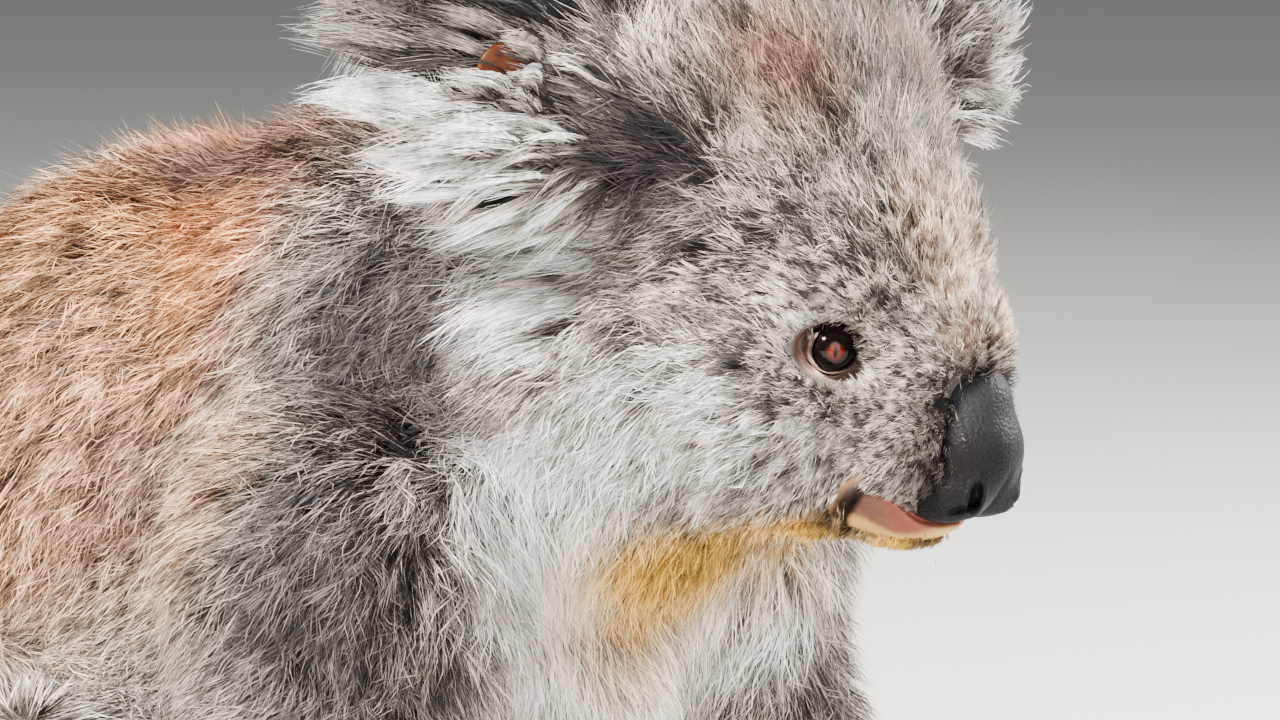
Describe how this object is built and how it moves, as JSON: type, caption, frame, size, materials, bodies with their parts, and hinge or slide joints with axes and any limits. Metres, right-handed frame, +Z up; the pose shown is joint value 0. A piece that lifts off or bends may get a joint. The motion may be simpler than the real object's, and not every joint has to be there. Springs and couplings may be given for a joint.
{
  "type": "koala",
  "caption": "Life-size grey koala sitting hunched on its rump with its hands planted in front, fluffy ears, a large dark nose and a plain ear tag.",
  "frame": {"origin": "on the floor under the middle of the animal's outer box", "axes": "+X the way the body faces, +Y to the animal's left, +Z up"},
  "size_m": [0.4724, 0.3944, 0.433],
  "materials": {
    "coat": "dense woolly ash-grey fur with pale tips, matt",
    "pale_coat": "long whitish fur of the ruff and ears, matt",
    "back_coat": "fur of the back, washed with rusty brown, matt",
    "nose": "bare dark leathery skin with a fine pebble, slightly moist",
    "lip": "bare pink skin of the lower lip",
    "eye": "wet glossy reddish-brown eye",
    "claw": "dark horn, lightly polished by wear",
    "tag": "plain orange disc, matt"
  },
  "bodies": {
    "root": {"head": "coat", "jaw": "lip", "nose": "nose", "neck": "pale_coat", "chest": "coat", "abdomen": "back_coat", "rump": "back_coat", "eye_left": "eye", "ear_left": "pale_coat", "upper_arm_left": "coat", "forearm_left": "coat", "hand_left": "coat", "thigh_left": "coat", "shank_left": "coat", "foot_left": "coat", "hand_claw_left_1": "claw", "hand_claw_left_2": "claw", "hand_claw_left_3": "claw", "hand_claw_left_4": "claw", "hand_claw_left_5": "claw", "foot_claw_left_2": "claw", "foot_claw_left_3": "claw", "foot_claw_left_4": "claw", "foot_claw_left_5": "claw", "eye_right": "eye", "ear_right": "pale_coat", "upper_arm_right": "coat", "forearm_right": "coat", "hand_right": "coat", "thigh_right": "coat", "shank_right": "coat", "foot_right": "coat", "hand_claw_right_1": "claw", "hand_claw_right_2": "claw", "hand_claw_right_3": "claw", "hand_claw_right_4": "claw", "hand_claw_right_5": "claw", "foot_claw_right_2": "claw", "foot_claw_right_3": "claw", "foot_claw_right_4": "claw", "foot_claw_right_5": "claw", "ear_tag": "tag"}
  },
  "joints": []
}
